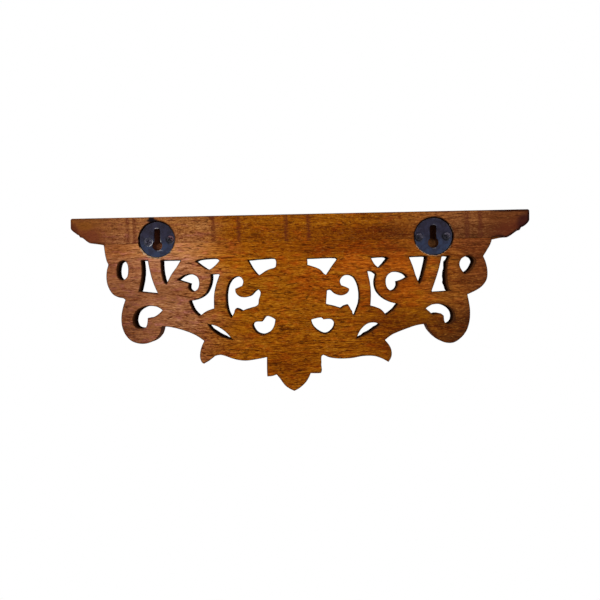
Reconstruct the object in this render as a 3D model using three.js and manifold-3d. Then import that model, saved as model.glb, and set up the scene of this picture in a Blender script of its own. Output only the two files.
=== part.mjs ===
// Wall shelf: a moulded board on a pierced back panel, hung from two keyhole plates.
//
// Frame: +Z up, the wall behind the shelf is the plane Y = 0 and the shelf stands out
// along -Y. The origin is on the wall plane, midway between the two keyholes, at the
// height where the wall screws sit. Lengths are millimetres.

import * as THREE from 'three';
import { mergeVertices } from 'three/addons/utils/BufferGeometryUtils.js';
import Module from 'manifold-3d';

const wasm = await Module();
wasm.setup();

// Board
const BOARD_LENGTH = 381;
const BOARD_DEPTH = 127;
const BOARD_THICKNESS = 22.4;
const TOP_EDGE_RADIUS = 1;

// Moulding under the board's front and ends, from the upright face inwards
const OVOLO_REACH = 6.9;
const OVOLO_DROP = 5.5;
const FILLET_REACH = 1.4;
const FILLET_DROP = 2.4;
const OGEE_REACH = 13.6;
const OGEE_DROP = 5.2;
const TAIL_REACH = 7.2;
const TAIL_DROP = 1.2;
const OVOLO_PULL = [0.08, 0.56];
const OGEE_PULLS = [[0.31, 0.08], [0.46, 0.98]];

// Back panel
const PANEL_DROP = 124.9;
const PANEL_THICKNESS = 15;
const TOP_BAND = 14.6;

// Keyhole plates, let into the back across the joint of board and panel
const HANGER_INSET = 75.7;
const HANGER_DIAMETER = 30;
const HANGER_THICKNESS = 1.6;
const HANGER_SUNK = 0.5;
const RIM_BEVEL = 0.3;
const HANGER_SHIFT = -0.15;
const LEFT_HANGER_MARGIN = 4.3;
const RIGHT_HANGER_MARGIN = 5.6;
const RECESS_CLEARANCE = 0.5;
const KEYHOLE_HEIGHT = 18.8;
const KEYHOLE_SLOT = 5.2;
const KEYHOLE_ENTRY = 8.6;
const KEYHOLE_CORNER = 1.4;
const POCKET_DEPTH = 8;
const POCKET_MARGIN = 1.8;

// Hanger screws
const SCREW_HEAD = 6;
const SCREW_SHANK = 3;
const SCREW_LENGTH = 12;
const SCREW_SLOT = 1;
const SCREW_SLOT_LENGTH = 3.6;
const SCREW_SLOT_DEPTH = 1.2;
const SCREW_TURNS = [0.35, 1.1, 0.7, 0.15];

// Centre bracket, between the panel's front and the board's underside
const BRACKET_THICKNESS = 18;
const BRACKET_REACH = 94;
const BRACKET_DROP = 97;

// Dowels and the fits between pieces
const DOWEL_DIAMETER = 6;
const DOWEL_LENGTH = 24;
const DOWEL_SHORT_END = 9;
const DOWEL_CHAMFER = 0.8;
const DOWEL_FROM_HANGER = 22;
const BRACKET_TOP_DOWELS = [20, 66];
const BRACKET_BACK_DOWELS = [28, 72];
const GLUE_LINE = 0.3;
const CLEARANCE = 0.3;

// How far a cutter stands out of the face that it cuts
const OVERCUT = 1;

const COLOURS = {
  board: { color: 0x8a4f1d, roughness: 0.5, metalness: 0 },
  panel: { color: 0x96591f, roughness: 0.45, metalness: 0 },
  bracket: { color: 0x8f531c, roughness: 0.45, metalness: 0 },
  dowel: { color: 0xc79a62, roughness: 0.8, metalness: 0 },
  plate: { color: 0x2c2c38, roughness: 0.45, metalness: 0.6 },
  screw: { color: 0x3a3a44, roughness: 0.4, metalness: 0.8 },
};

// What follows from the sizes above
const HALF_LENGTH = BOARD_LENGTH / 2;
const MOULDING_REACH = OVOLO_REACH + FILLET_REACH + OGEE_REACH + TAIL_REACH;
const HALF_PANEL = HALF_LENGTH - MOULDING_REACH;
const FACE_FOOT = OVOLO_DROP + FILLET_DROP + OGEE_DROP + TAIL_DROP;
const HANGER_HALF = HALF_LENGTH - HANGER_INSET;
const RECESS_DEPTH = HANGER_THICKNESS + HANGER_SUNK + CLEARANCE;
const RECESS_RADIUS = HANGER_DIAMETER / 2 + RECESS_CLEARANCE;
const KEYHOLE_TOP = KEYHOLE_HEIGHT / 2;
const ENTRY_HEIGHT = KEYHOLE_ENTRY / 2 - KEYHOLE_HEIGHT / 2;
const LEFT_HANGER_HEIGHT = BOARD_THICKNESS - LEFT_HANGER_MARGIN - HANGER_DIAMETER / 2;
const RIGHT_HANGER_HEIGHT = BOARD_THICKNESS - RIGHT_HANGER_MARGIN - HANGER_DIAMETER / 2;
const MEAN_HANGER_HEIGHT = (LEFT_HANGER_HEIGHT + RIGHT_HANGER_HEIGHT) / 2;
const HANG_LINE = MEAN_HANGER_HEIGHT + KEYHOLE_TOP - KEYHOLE_SLOT / 2;
const PANEL_FRONT = -PANEL_THICKNESS - GLUE_LINE;

// Everything is drawn as it is seen from behind: x to the right, y up from the joint of
// board and panel, z towards the wall, which is at z = 0.
const part = new THREE.Group();
const backView = new THREE.Group();
backView.rotation.set(Math.PI / 2, Math.PI, 0);
backView.position.z = -HANG_LINE;
part.add(backView);

function addPiece(name, geometry, colour) {
  const mesh = new THREE.Mesh(geometry, new THREE.MeshStandardMaterial(COLOURS[colour]));
  mesh.name = name;
  backView.add(mesh);
}

// Solids

function solid(geometry) {
  const bare = new THREE.BufferGeometry();
  bare.setAttribute('position', geometry.getAttribute('position').clone());
  if (geometry.index) bare.setIndex(geometry.index.clone());
  const merged = mergeVertices(bare, 1e-4);
  return new wasm.Manifold(new wasm.Mesh({
    numProp: 3,
    vertProperties: new Float32Array(merged.getAttribute('position').array),
    triVerts: new Uint32Array(merged.index.array),
  }));
}

function toGeometry(manifold) {
  const mesh = manifold.getMesh();
  const geometry = new THREE.BufferGeometry();
  const places = new Float32Array(mesh.vertProperties);
  geometry.setAttribute('position', new THREE.BufferAttribute(places, 3));
  geometry.setIndex(new THREE.BufferAttribute(new Uint32Array(mesh.triVerts), 1));
  geometry.computeVertexNormals();
  return geometry;
}

function cutAll(body, cutters) {
  return cutters.reduce((left, cutter) => left.subtract(cutter), body);
}

function prism(shape, depth, z) {
  const geometry = new THREE.ExtrudeGeometry(shape, { depth, bevelEnabled: false, curveSegments: 8 });
  return geometry.translate(0, 0, z);
}

const AXES = { y: new THREE.Vector3(0, 1, 0), z: new THREE.Vector3(0, 0, 1) };

// A turned body: the profile's points are [radius, distance along the axis].
function turned(profile, axis, place, sides) {
  const geometry = new THREE.LatheGeometry(profile.map(([r, t]) => new THREE.Vector2(r, t)), sides);
  geometry.applyQuaternion(new THREE.Quaternion().setFromUnitVectors(AXES.y, AXES[axis]));
  return geometry.translate(...place);
}

function rod(radius, length, axis, middle, sides) {
  const half = length / 2;
  return turned([[0, -half], [radius, -half], [radius, half], [0, half]], axis, middle, sides);
}

// Outlines

const CURVE_STEPS = 5;
const CHORD_TOLERANCE = 0.07;

function distanceToChord(point, start, end) {
  const chord = end.clone().sub(start);
  const length = chord.length();
  if (length === 0) return point.distanceTo(start);
  return Math.abs(chord.cross(point.clone().sub(start))) / length;
}

// Leaves out the points that a straight chord already holds to within the tolerance.
function thinned(points) {
  const start = points[0];
  const end = points[points.length - 1];
  let worst = 0;
  let at = 0;
  for (let i = 1; i < points.length - 1; i += 1) {
    const off = distanceToChord(points[i], start, end);
    if (off > worst) {
      worst = off;
      at = i;
    }
  }
  if (worst < CHORD_TOLERANCE) return [start, end];
  return [...thinned(points.slice(0, at + 1)).slice(0, -1), ...thinned(points.slice(at))];
}

// One stroke: a smooth curve through its points, or a straight line through two.
function stroke(points, closed = false) {
  if (points.length < 3) return points;
  const knots = points.map((p) => new THREE.Vector3(p.x, p.y, 0));
  const curve = new THREE.CatmullRomCurve3(knots, closed, 'centripetal');
  const spans = closed ? knots.length : knots.length - 1;
  const fine = curve.getPoints(spans * CURVE_STEPS).map((p) => new THREE.Vector2(p.x, p.y));
  if (!closed) return thinned(fine);
  const middle = Math.floor(fine.length / 2);
  return [...thinned(fine.slice(0, middle + 1)).slice(0, -1), ...thinned(fine.slice(middle))];
}

// The fret is drawn for a panel of this size, and is stretched to the panel's own below
// the plain band.
const DRAWN_HALF = 161.4;
const DRAWN_DROP = 124.9;
const DRAWN_BAND = 14.6;

function onPanel([x, y]) {
  const across = HALF_PANEL / DRAWN_HALF;
  const inBand = y * (TOP_BAND / DRAWN_BAND);
  const down = (PANEL_DROP - TOP_BAND) / (DRAWN_DROP - DRAWN_BAND);
  const inFret = -TOP_BAND + (y + DRAWN_BAND) * down;
  return new THREE.Vector2(x * across, Math.min(-GLUE_LINE, y > -DRAWN_BAND ? inBand : inFret));
}

// An outline is a list of strokes, each starting where the one before ended. A single
// stroke is a smooth closed loop.
function outline(strokes, place) {
  if (strokes.length === 1) return stroke(strokes[0].map(place), true).slice(0, -1);
  return strokes.flatMap((points, i) => {
    const next = strokes[(i + 1) % strokes.length][0];
    return stroke([...points, next].map(place)).slice(0, -1);
  });
}

// The panel's edge, from the board's left corner round to its right corner.
const LEFT_EDGE = [
  [[-161.7, 0], [-160.4, -8], [-159.2, -14.3]],
  [[-157.8, -17.4], [-159.2, -23.5], [-159.4, -30.5], [-157.9, -36.8], [-153.9, -43],
    [-149, -45.6], [-144.6, -46.6]],
  [[-143.1, -47.8], [-145.2, -54], [-146.7, -62], [-146.3, -70], [-143.6, -77.2], [-138.6, -82.6],
    [-131.5, -85.2], [-124.5, -85], [-117.6, -82.1], [-113.2, -77.2]],
  [[-111.2, -70.6], [-103.3, -71.4], [-92, -74.4], [-82.5, -78.3]],
  [[-75.5, -83], [-78.4, -90], [-79.1, -97], [-77.6, -101.2]],
  [[-75.8, -102.3], [-70.7, -99.3], [-66.5, -96], [-61.5, -94.9], [-56, -96.4], [-48, -98.9],
    [-40.3, -99.7], [-31, -98.5]],
  [[-22.6, -96.8], [-22.5, -111.6]],
  [[-22.3, -112.9], [-18.5, -112.6]],
  [[-14.5, -111.3], [-11.6, -114.9], [-7.6, -120.3], [-3.6, -123.2]],
];
const RIGHT_EDGE = [
  [[0.1, -124.9], [4.4, -122.5], [9.7, -117.6], [12.6, -113]],
  [[13.8, -110.1], [22.3, -109.8]],
  [[22.6, -109.2], [22.1, -95.9]],
  [[23.4, -94.9], [30, -97.1], [38, -98], [48, -97.5], [57, -95.9], [66, -95.9], [72.5, -98]],
  [[77.5, -100.8], [79.8, -96.8], [80.2, -92], [78.5, -87.2]],
  [[74.9, -82.7], [80.7, -78.3], [90.5, -74.2], [100.5, -70.7]],
  [[108, -69.6], [110.3, -74.6], [115.4, -80.4], [121.9, -84.5], [129.5, -85], [136, -80.9],
    [140.6, -74.6], [142.9, -66.5], [143.2, -57.5], [142.2, -50.5]],
  [[141.3, -45.8], [146.3, -43.5], [152.6, -39.5], [156.6, -33.8], [157.3, -26.5], [155.9, -19.5]],
  [[154.1, -14.9], [157.6, -9.2], [160.3, -4]],
  [[161.1, 0]],
];

// The piercings, read from behind and from left to right.
const PIERCINGS = [
  // Left side: oval, tall flare, V, curl
  [[[-143.9, -14.4], [-141.2, -17], [-140.4, -22.5], [-141.5, -28.4], [-145.1, -30.9],
    [-149, -28.8], [-150, -22], [-148.3, -16.1]]],
  [
    [[-128.9, -14.4], [-128.2, -23], [-129, -31.5]],
    [[-131.2, -40.8], [-122, -41.9]],
    [[-114.8, -42.6], [-118.4, -34.4], [-121.2, -25]],
    [[-123.3, -14.4]],
  ],
  [
    [[-111.9, -14.6], [-111.3, -24.5], [-109, -33.2]],
    [[-107.2, -34.8], [-103.4, -27.2], [-98.6, -20.6]],
    [[-94.8, -14.6]],
  ],
  [
    [[-110.9, -56.8], [-115.6, -54], [-122.6, -53.3], [-129.6, -54.9], [-134.5, -58.9],
      [-136.5, -65.5], [-134.5, -70.8], [-130.4, -72.2], [-125.6, -71.3], [-124.2, -67.6]],
    [[-123.8, -63.4], [-118.8, -62.6], [-114.5, -60.2]],
  ],
  // Left side: small triangle, comma, curved slot, leaf slit
  [
    [[-82.2, -15.7], [-79, -14.5], [-64, -14]],
    [[-61.9, -15.5], [-65.4, -19.4], [-70, -22.7]],
    [[-71.5, -22.7], [-76.8, -19.8]],
  ],
  [
    [[-97.6, -31.2], [-92.4, -27.7], [-86.2, -26.6], [-80.9, -29], [-79.2, -34.2], [-80.8, -39.4],
      [-84.6, -41.2], [-87.9, -39], [-88.1, -35.9]],
    [[-87.7, -34.4], [-92.6, -32.8]],
  ],
  [
    [[-69, -27], [-62.6, -26.9]],
    [[-61.8, -27.4], [-64.8, -35.5], [-66.6, -44], [-66.8, -51]],
    [[-66.8, -55.6], [-73, -57.8], [-78.4, -61.3]],
    [[-79.8, -61.8], [-84.3, -57.2], [-87, -51.6]],
    [[-87.7, -49.4], [-80.4, -47.6], [-74, -43.5], [-70.4, -37], [-69, -31]],
  ],
  [
    [[-72.2, -68.9], [-65.4, -70.4], [-57.6, -75.2]],
    [[-51.3, -82], [-60.5, -79.4], [-68.2, -74]],
  ],
  // Left side: large scroll, top wedge, heart
  [
    [[-42.8, -36.8], [-41.8, -33.4], [-43.5, -30], [-47.2, -29.1], [-51.4, -31.1], [-54.6, -36],
      [-56.1, -43], [-56.1, -51], [-54.8, -58.4]],
    [[-52.1, -63.5], [-49.2, -58.7]],
    [[-46.9, -55.7], [-44.2, -56.6]],
    [[-42, -58], [-36.2, -55.5], [-31, -53.8]],
    [[-29.7, -52.8], [-28.9, -48.6], [-27.5, -44.3]],
    [[-27.3, -42.4], [-29.3, -40.1], [-32.2, -41.9], [-35.8, -45.4], [-40.6, -46.6],
      [-45.4, -45.6], [-48.3, -42.4]],
    [[-48.6, -39.3]],
  ],
  [
    [[-37.6, -15.5], [-15.6, -14.5]],
    [[-14.7, -15.3], [-14.4, -21]],
    [[-15, -21.6], [-22, -24.1], [-28, -27.8]],
    [[-29.2, -28], [-33.6, -22.6]],
  ],
  [
    [[-26.2, -67], [-24.2, -64.4], [-22, -62.5], [-18.7, -63.2]],
    [[-15.2, -65.2], [-16.5, -71], [-20.4, -76], [-26.2, -77.9], [-31.2, -75.6], [-34.1, -70],
      [-31.8, -67.4]],
  ],
  // Right side: heart, top wedge, large scroll
  [
    [[14.7, -65.6], [18.8, -64.5], [23.2, -64]],
    [[24.7, -65.5], [31, -65.4], [33.6, -68.6], [31.6, -74.2], [26.4, -77.3], [20.6, -75], [16, -70.2]],
  ],
  [
    [[12, -14.8], [35.8, -14.8]],
    [[36.4, -15.6], [32, -21.5]],
    [[27.6, -28.2], [26.6, -28.2], [22.2, -23.8], [16.4, -21.3]],
    [[12, -19.9]],
  ],
  [
    [[39.7, -37.2], [38.7, -33.6], [41, -30], [45, -28.8], [49.4, -30.2], [52.8, -35.8],
      [54.4, -43.5], [54, -51.5]],
    [[50.3, -61.8], [48.4, -61.6], [47, -56.4]],
    [[45.2, -53.3], [41.8, -54.4]],
    [[39.2, -56.2], [33.6, -54.4], [27.8, -52.9]],
    [[27.1, -52.4], [27.7, -44.6]],
    [[28, -41.6], [30.4, -41.1], [34.6, -44.4], [40, -45.7], [44.8, -43.6], [46.2, -40.4],
      [43.8, -38.9]],
  ],
  // Right side: leaf slit, curved slot, comma, small triangle
  [
    [[51.7, -81.3], [55, -74.5], [61, -69.1], [67.3, -68.4]],
    [[70.3, -70], [62.6, -76.2]],
  ],
  [
    [[61.2, -25.7], [65, -26.2]],
    [[68.3, -28.5], [67.1, -34.5], [68, -40.8], [72, -46.6], [78.6, -51]],
    [[85.5, -53.2], [81.6, -57.8]],
    [[76, -62], [71.6, -57.2]],
    [[63.4, -54.2], [63.9, -46], [63.5, -37.5], [62, -30]],
  ],
  [
    [[85.2, -34.4], [85.4, -37.6], [83.4, -41], [80, -42], [77.2, -39.7], [76, -35],
      [76.9, -30.4], [80.5, -27.2], [86.4, -26.8], [91, -28.4]],
    [[93.6, -31], [90, -33]],
  ],
  [
    [[64.2, -14.8], [77, -14.6]],
    [[78.2, -15.6], [74.8, -19.7]],
    [[70, -23], [67, -20.1]],
  ],
  // Right side: V, tall flare, curl, teardrop
  [
    [[95, -14.6], [109.4, -14.6]],
    [[109.4, -15], [107.6, -24], [104.6, -34]],
    [[103, -36.7], [100.3, -30], [98, -22.4]],
  ],
  [
    [[121.2, -14.6], [128, -14.6]],
    [[127.9, -15.2], [126.4, -25], [126.4, -34]],
    [[127.6, -42.7], [113.4, -43.2]],
    [[112.9, -42.6], [115.4, -35.4], [118.6, -25.6]],
  ],
  [
    [[122.3, -63], [119.6, -61], [116.2, -61.1]],
    [[113.8, -61.9], [109.4, -58.8]],
    [[107.4, -56.9], [111.4, -54.4], [117.5, -53.4], [124, -54.6], [129, -58.1], [131, -63],
      [129.8, -67.6], [126.2, -69.7], [123.2, -68.4]],
  ],
  [
    [[139.5, -29.1], [136.6, -25.2], [135.3, -21], [137, -16.6]],
    [[141, -14.6], [145.2, -16.2], [147.2, -20], [144.8, -25]],
  ],
];

// Hanger plates, their seats and screws

const HANGERS = [
  {
    side: 'left',
    middle: [HANGER_SHIFT - HANGER_HALF, LEFT_HANGER_HEIGHT],
    screws: [[-7.6, -1.9], [11.4, 0.2]],
  },
  {
    side: 'right',
    middle: [HANGER_SHIFT + HANGER_HALF, RIGHT_HANGER_HEIGHT],
    screws: [[-11.2, -0.1], [10.8, 0.2]],
  },
];

function keyholeShape(middle, grow = 0) {
  const [x, y] = middle;
  const half = KEYHOLE_SLOT / 2 + grow;
  const top = y + KEYHOLE_TOP + grow;
  const corner = Math.min(KEYHOLE_CORNER + grow, half);
  const radius = KEYHOLE_ENTRY / 2 + grow;
  const centre = y + ENTRY_HEIGHT;
  const opening = Math.asin(Math.min(half / radius, 1));
  const shape = new THREE.Shape();
  shape.moveTo(x + half, top - corner);
  shape.absarc(x + half - corner, top - corner, corner, 0, Math.PI / 2, false);
  shape.absarc(x - half + corner, top - corner, corner, Math.PI / 2, Math.PI, false);
  shape.absarc(x, centre, radius, Math.PI / 2 + opening, Math.PI * 2.5 - opening, false);
  shape.closePath();
  return shape;
}

// The round recess, the pocket for the wall screw's head and the two pilot holes.
function hangerSeat({ middle, screws }) {
  const place = [...middle, (OVERCUT - RECESS_DEPTH) / 2];
  const recess = rod(RECESS_RADIUS, RECESS_DEPTH + OVERCUT, 'z', place, 64);
  const pocketFloor = -RECESS_DEPTH - POCKET_DEPTH;
  const pocket = prism(keyholeShape(middle, POCKET_MARGIN), POCKET_DEPTH + OVERCUT, pocketFloor);
  const pilotLength = SCREW_LENGTH + CLEARANCE;
  const pilots = screws.map(([x, y]) => {
    const seat = [middle[0] + x, middle[1] + y, -HANGER_SUNK - pilotLength / 2];
    return rod(SCREW_SHANK / 2 + CLEARANCE, pilotLength, 'z', seat, 16);
  });
  return [recess, pocket, ...pilots].map(solid);
}

function hangerPlate({ middle, screws }) {
  const radius = HANGER_DIAMETER / 2;
  const disc = [[0, -HANGER_THICKNESS], [radius, -HANGER_THICKNESS], [radius, -RIM_BEVEL],
  [radius - RIM_BEVEL, 0], [0, 0]];
  const plate = solid(turned(disc, 'z', [...middle, -HANGER_SUNK], 64));
  const behind = -HANGER_SUNK - HANGER_THICKNESS - OVERCUT;
  const keyhole = solid(prism(keyholeShape(middle), HANGER_THICKNESS + 2 * OVERCUT, behind));
  const head = SCREW_HEAD / 2 + CLEARANCE;
  const cone = [[0, -head], [head + OVERCUT, OVERCUT], [0, OVERCUT]];
  const sinks = screws.map(([x, y]) => (
    solid(turned(cone, 'z', [middle[0] + x, middle[1] + y, -HANGER_SUNK], 24))
  ));
  return toGeometry(cutAll(plate, [keyhole, ...sinks]));
}

// Countersunk wood screw with a cross slot; its head lies level with the plate.
function hangerScrew({ middle }, [x, y], turn) {
  const head = SCREW_HEAD / 2;
  const shank = SCREW_SHANK / 2;
  const profile = [
    [0, -SCREW_LENGTH],
    [shank, -SCREW_LENGTH + SCREW_HEAD / 2],
    [shank, shank - head],
    [head, 0],
    [0, 0],
  ];
  const body = solid(turned(profile, 'z', [0, 0, 0], 24));
  const slots = [0, Math.PI / 2].map((angle) => {
    const bar = new THREE.BoxGeometry(SCREW_SLOT_LENGTH, SCREW_SLOT, SCREW_SLOT_DEPTH * 2);
    return solid(bar.rotateZ(angle + turn));
  });
  return toGeometry(cutAll(body, slots)).translate(middle[0] + x, middle[1] + y, -HANGER_SUNK);
}

// Dowels. Each has a short end in the panel or the bracket's top and a long end beyond.

const DOWEL_SHIFT = DOWEL_LENGTH / 2 - DOWEL_SHORT_END;

function dowel({ axis, middle }) {
  const radius = DOWEL_DIAMETER / 2;
  const half = DOWEL_LENGTH / 2;
  const profile = [
    [0, -half],
    [radius - DOWEL_CHAMFER, -half],
    [radius, -half + DOWEL_CHAMFER],
    [radius, half - DOWEL_CHAMFER],
    [radius - DOWEL_CHAMFER, half],
    [0, half],
  ];
  return turned(profile, axis, middle, 16);
}

function dowelHole({ axis, middle }) {
  return solid(rod(DOWEL_DIAMETER / 2 + CLEARANCE, DOWEL_LENGTH + 2 * CLEARANCE, axis, middle, 20));
}

const BOARD_DOWELS = [-1, 1].flatMap((side) => [-1, 1].map((way) => ({
  axis: 'y',
  middle: [side * (HANGER_HALF + way * DOWEL_FROM_HANGER), DOWEL_SHIFT, -PANEL_THICKNESS / 2],
})));
const BRACKET_DOWELS = [
  ...BRACKET_TOP_DOWELS.map((out) => ({ axis: 'y', middle: [0, DOWEL_SHIFT, PANEL_FRONT - out] })),
  ...BRACKET_BACK_DOWELS.map((down) => ({ axis: 'z', middle: [0, -down, PANEL_FRONT - DOWEL_SHIFT] })),
];
const DOWEL_HOLES = [...BOARD_DOWELS, ...BRACKET_DOWELS].map(dowelHole);
const HANGER_SEATS = HANGERS.flatMap(hangerSeat);

// Board

const PROFILE_STEPS = 8;

// From the rounded top edge down to the flat underside; x is the distance in from the edge.
function mouldingProfile() {
  const path = new THREE.Path();
  const radius = TOP_EDGE_RADIUS;
  let x = 0;
  let y = FACE_FOOT;
  path.moveTo(radius, BOARD_THICKNESS);
  path.absarc(radius, BOARD_THICKNESS - radius, radius, Math.PI / 2, Math.PI, false);
  path.lineTo(x, y);
  const pull = [x + OVOLO_PULL[0] * OVOLO_REACH, y - OVOLO_PULL[1] * OVOLO_DROP];
  path.quadraticCurveTo(...pull, x + OVOLO_REACH, y - OVOLO_DROP);
  x += OVOLO_REACH + FILLET_REACH;
  y -= OVOLO_DROP + FILLET_DROP;
  path.lineTo(x, y);
  const pulls = OGEE_PULLS.flatMap(([across, down]) => [x + across * OGEE_REACH, y - down * OGEE_DROP]);
  path.bezierCurveTo(...pulls, x + OGEE_REACH, TAIL_DROP);
  path.lineTo(MOULDING_REACH, 0);
  return path.getPoints(PROFILE_STEPS);
}

function board() {
  const edge = mouldingProfile();
  const left = edge.map((p) => new THREE.Vector2(p.x - HALF_LENGTH, p.y));
  const right = edge.map((p) => new THREE.Vector2(HALF_LENGTH - p.x, p.y)).reverse();
  const front = edge.map((p) => new THREE.Vector2(BOARD_DEPTH - p.x, p.y));
  const back = [new THREE.Vector2(0, 0), new THREE.Vector2(0, BOARD_THICKNESS)];
  const alongDepth = solid(prism(new THREE.Shape([...left, ...right]), BOARD_DEPTH, -BOARD_DEPTH));
  const alongLength = prism(new THREE.Shape([...front, ...back]), BOARD_LENGTH, -HALF_LENGTH);
  const blank = alongDepth.intersect(solid(alongLength.rotateY(Math.PI / 2)));
  return toGeometry(cutAll(blank, [...HANGER_SEATS, ...DOWEL_HOLES]));
}

// Back panel

function panel() {
  const shape = new THREE.Shape(outline([...LEFT_EDGE, ...RIGHT_EDGE], onPanel));
  shape.holes = PIERCINGS.map((strokes) => new THREE.Path(outline(strokes, onPanel)));
  const blank = solid(prism(shape, PANEL_THICKNESS, -PANEL_THICKNESS));
  return toGeometry(cutAll(blank, [...HANGER_SEATS, ...DOWEL_HOLES]));
}

// Centre bracket, drawn from the side: x is the distance out from the panel.

const DRAWN_REACH = 94;
const DRAWN_BRACKET_DROP = 97;
const BRACKET_EDGE = [
  [[0, 0], [89, 0]],
  [[90.5, -0.6], [93.6, -4], [93.8, -8.6], [90.6, -12.4], [86.6, -12.6]],
  [[84, -11.6], [73, -13.4], [62, -18.6], [52.5, -27], [46.8, -37]],
  [[45, -45], [49, -49.2], [50, -55], [46.6, -60.6], [40.4, -61.8]],
  [[35.4, -59.4], [28.4, -63.6], [22.4, -71], [18.8, -80]],
  [[18, -86.4], [18.6, -91], [15.6, -95.2], [10, -97]],
  [[0, -97]],
];
const BRACKET_PIERCING = [
  [[54, -15.6], [43, -16.4], [32.6, -19.8], [25.6, -26.4], [23.6, -34], [27, -41], [34, -43],
    [39.4, -39.4], [40.4, -33.8]],
  [[38.4, -29.8], [45.6, -22.6]],
];

function onBracket([x, y]) {
  const across = BRACKET_REACH / DRAWN_REACH;
  const down = BRACKET_DROP / DRAWN_BRACKET_DROP;
  return new THREE.Vector2(x * across, Math.min(-GLUE_LINE, y * down));
}

function bracket() {
  const shape = new THREE.Shape(outline(BRACKET_EDGE, onBracket));
  shape.holes = [new THREE.Path(outline(BRACKET_PIERCING, onBracket))];
  const blank = prism(shape, BRACKET_THICKNESS, -BRACKET_THICKNESS / 2);
  blank.rotateY(Math.PI / 2).translate(0, 0, PANEL_FRONT);
  return toGeometry(cutAll(solid(blank), DOWEL_HOLES));
}

addPiece('shelf_board', board(), 'board');
addPiece('fret_panel', panel(), 'panel');
addPiece('centre_bracket', bracket(), 'bracket');
HANGERS.forEach((hanger, h) => {
  addPiece(`hanger_plate_${hanger.side}`, hangerPlate(hanger), 'plate');
  hanger.screws.forEach((place, i) => {
    const number = h * hanger.screws.length + i;
    addPiece(`hanger_screw_${number + 1}`, hangerScrew(hanger, place, SCREW_TURNS[number]), 'screw');
  });
});
BOARD_DOWELS.forEach((pin, i) => addPiece(`board_dowel_${i + 1}`, dowel(pin), 'dowel'));
BRACKET_DOWELS.forEach((pin, i) => addPiece(`bracket_dowel_${i + 1}`, dowel(pin), 'dowel'));

export default part;
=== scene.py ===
import math
from types import SimpleNamespace

import bmesh
import bpy
import numpy as np
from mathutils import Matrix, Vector, noise
from mathutils.geometry import delaunay_2d_cdt
from mathutils.kdtree import KDTree


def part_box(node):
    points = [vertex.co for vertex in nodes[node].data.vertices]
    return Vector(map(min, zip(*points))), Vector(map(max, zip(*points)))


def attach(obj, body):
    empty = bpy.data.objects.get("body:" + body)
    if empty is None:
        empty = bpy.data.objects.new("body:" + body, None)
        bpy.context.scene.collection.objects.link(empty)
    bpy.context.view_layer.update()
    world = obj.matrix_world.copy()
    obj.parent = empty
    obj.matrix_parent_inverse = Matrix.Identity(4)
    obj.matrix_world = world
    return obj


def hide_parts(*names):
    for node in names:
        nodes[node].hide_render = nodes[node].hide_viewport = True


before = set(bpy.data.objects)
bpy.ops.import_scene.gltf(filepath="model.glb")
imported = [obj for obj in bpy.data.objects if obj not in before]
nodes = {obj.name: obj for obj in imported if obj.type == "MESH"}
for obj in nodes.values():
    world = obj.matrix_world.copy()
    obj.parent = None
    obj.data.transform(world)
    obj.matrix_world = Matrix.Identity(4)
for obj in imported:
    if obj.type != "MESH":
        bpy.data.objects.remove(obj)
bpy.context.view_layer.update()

# A carved wall shelf, seen from the wall side: a moulded board on a fretwork panel and a
# centre bracket, hung on two keyhole plates.
# Sizes are in mm, in the row frame: X along the shelf, Y out of the wall, Z up. The wall is
# the plane Y = 0, and the shelf reaches away from it to negative Y. Its right end, as seen
# from the wall side, is the one at negative X.
MM = 0.001


def node_box(name):
    """Lowest and highest corner of a CAD node."""
    return np.array(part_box(name)) / MM


def node_middle(name):
    """A CAD node's middle in X and Z."""
    return node_box(name).mean(axis=0)[[0, 2]]


BOARD_LOW, BOARD_HIGH = node_box("shelf_board")
PANEL_LOW, PANEL_HIGH = node_box("fret_panel")
BRACKET_HIGH = node_box("centre_bracket")[1]
HALF_LENGTH = BOARD_HIGH[0]
BOARD_DEPTH = -BOARD_LOW[1]
BOARD_TOP = BOARD_HIGH[2]
BOARD_UNDERSIDE = BOARD_LOW[2]
PANEL_END = PANEL_HIGH[0]
PANEL_TOP = PANEL_HIGH[2]
PANEL_THICKNESS = -PANEL_LOW[1]
SMALLEST_OPENING = 7
WELD = 0.002

PLATE_RADIUS = 15
PLATE_FACE = 0.5
PLATE_THICKNESS = 1.6
RECESS_RADIUS = 15.5
RECESS_DEPTH = 2.4
TORN_DEPTH = 0.5
POCKET_FLOOR = 10.4
POCKET_MARGIN = 1.8
KEYHOLE_TOP = 9.4
KEYHOLE_HALF = 2.6
KEYHOLE_CORNER = 1.4
ENTRY_RADIUS = 4.3
ENTRY_DROP = 5.1
ARC_STEP = 0.3

# The two plates: how far the seat lies off its plate and how torn it is below, where painted
# light makes the wood behind the entry paler, how rubbed the screws' dishes are, with a painted
# highlight on one side, and how much painted shade lies below them, how the screws are turned,
# how rusty their lit side is and how much painted highlight it has, and the painted glints on
# the plate (place, size, share).
HANGERS = (
    SimpleNamespace(
        side="left", number=0, seat_shift=(0.3, 0.25), torn_below=1.3, entry_light_spot=(-0.8, -0.2),
        dish_wear_and_highlight=(1.0, 0.12), dish_shade=(0.3, 0.9), turns=(0.35, 1.1), rust=(0.0, 1.0),
        dust=(0.2, 0.0), glints=(((0.2, 9.5), (1.9, 0.5), 1.0), ((-1.6, -9.2), (3.2, 0.6), 0.4),
                                 ((-3.0, -1.4), (0.5, 2.6), 0.4))),
    SimpleNamespace(
        side="right", number=1, seat_shift=(-0.3, 0.25), torn_below=0.7, entry_light_spot=(-0.2, 0.4),
        dish_wear_and_highlight=(0.04, 0.04), dish_shade=(1.0, 1.0), turns=(0.7, 0.15), rust=(0.1, 0.1),
        dust=(1.0, 1.0), glints=(((-0.6, 9.6), (1.2, 0.5), 0.25), ((-0.8, -9.4), (2.0, 0.5), 0.15))),
)
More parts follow.
